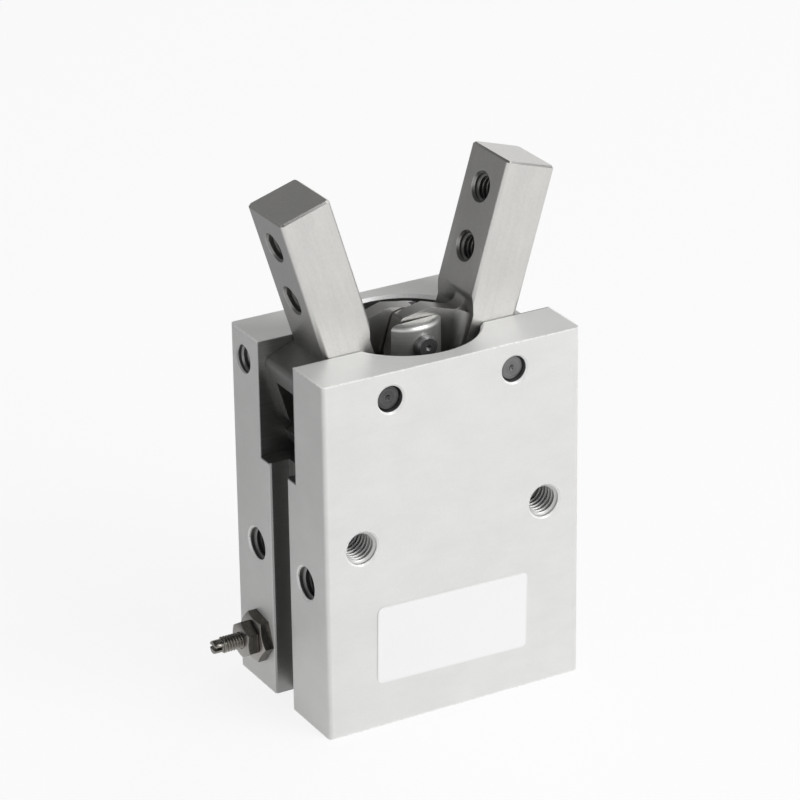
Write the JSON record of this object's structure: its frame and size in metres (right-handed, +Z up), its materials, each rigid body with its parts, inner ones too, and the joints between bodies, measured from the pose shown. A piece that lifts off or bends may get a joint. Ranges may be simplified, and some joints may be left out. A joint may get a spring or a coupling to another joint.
{
  "type": "pneumatic angular gripper",
  "caption": "Pneumatic angular gripper: block body with an air piston inside that swings steel fingers open and shut, air adjuster on one side.",
  "frame": {"origin": "centre of the body's bottom face, on the piston's axis", "axes": "+Z up along the piston's axis towards the fingers, X along the wide faces with the air adjuster on the -X side, -Y out of the front face with the label"},
  "size_m": [0.0513, 0.0277, 0.079],
  "materials": {
    "body_aluminium": "clear anodised, fine blasted",
    "inner_aluminium": "turned",
    "finger_steel": "ground",
    "joint_steel": "turned and polished",
    "shaft_steel": "ground",
    "ring_steel": "spring steel",
    "adjuster_metal": "dark nickel plated",
    "seal_rubber": "moulded",
    "stop_rubber": "moulded",
    "bonded_magnet": "bonded ferrite",
    "label_film": "satin film"
  },
  "bodies": {
    "housing": {"body": "body_aluminium", "rod_cover": "inner_aluminium", "end_cap": "inner_aluminium", "left_shaft": "shaft_steel", "right_shaft": "shaft_steel", "rod_cover_ring": "ring_steel", "end_cap_ring": "ring_steel", "passage_balls": "ring_steel", "needle_guide": "adjuster_metal", "rod_seal": "seal_rubber", "rod_cover_gasket": "seal_rubber", "end_cap_gasket": "seal_rubber", "guide_gasket": "seal_rubber", "upper_bumper": "stop_rubber", "lower_bumper": "stop_rubber", "label": "label_film"},
    "piston_and_rod": {"joint_rod": "joint_steel", "joint_pin": "shaft_steel", "piston": "inner_aluminium", "piston_seal": "seal_rubber", "magnet": "bonded_magnet"},
    "left_lever": {"left_finger": "finger_steel"},
    "right_lever": {"right_finger": "finger_steel"},
    "needle_seal": {"needle_o_ring": "seal_rubber"},
    "adjusting_needle": {"needle": "adjuster_metal"},
    "locking_nut": {"lock_nut": "adjuster_metal"}
  },
  "joints": [
    {"name": "piston_stroke", "type": "slide", "parent": "housing", "child": "piston_and_rod", "axis": [0, 0, 1], "range_m": [-0.00359, 0]},
    {"name": "left_finger_swing", "type": "hinge", "parent": "housing", "child": "left_lever", "pos_m": [-0.0101, 0, 0.0512], "axis": [0, 1, 0], "range_deg": [0, 20]},
    {"name": "right_finger_swing", "type": "hinge", "parent": "housing", "child": "right_lever", "pos_m": [0.0101, 0, 0.0512], "axis": [0, 1, 0], "range_deg": [-20, 0]},
    {"name": "needle_travel", "type": "slide", "parent": "housing", "child": "needle_seal", "axis": [-1, 0, 0], "range_m": [-0.00056, 0.00068]},
    {"name": "needle_turn", "type": "hinge", "parent": "needle_seal", "child": "adjusting_needle", "pos_m": [-0.021, 0.0068, 0.008], "axis": [-1, 0, 0], "range_deg": [-450, 540]},
    {"name": "lock_nut_turn", "type": "hinge", "parent": "housing", "child": "locking_nut", "pos_m": [-0.021, 0.0068, 0.008], "axis": [-1, 0, 0], "range_deg": [0, 120]}
  ],
  "couplings": [
    {"joint": "left_finger_swing", "follows": "piston_stroke", "rad_per_m": -97.235},
    {"joint": "right_finger_swing", "follows": "piston_stroke", "rad_per_m": 97.235},
    {"joint": "needle_turn", "follows": "needle_travel", "rad_per_m": 13963}
  ]
}
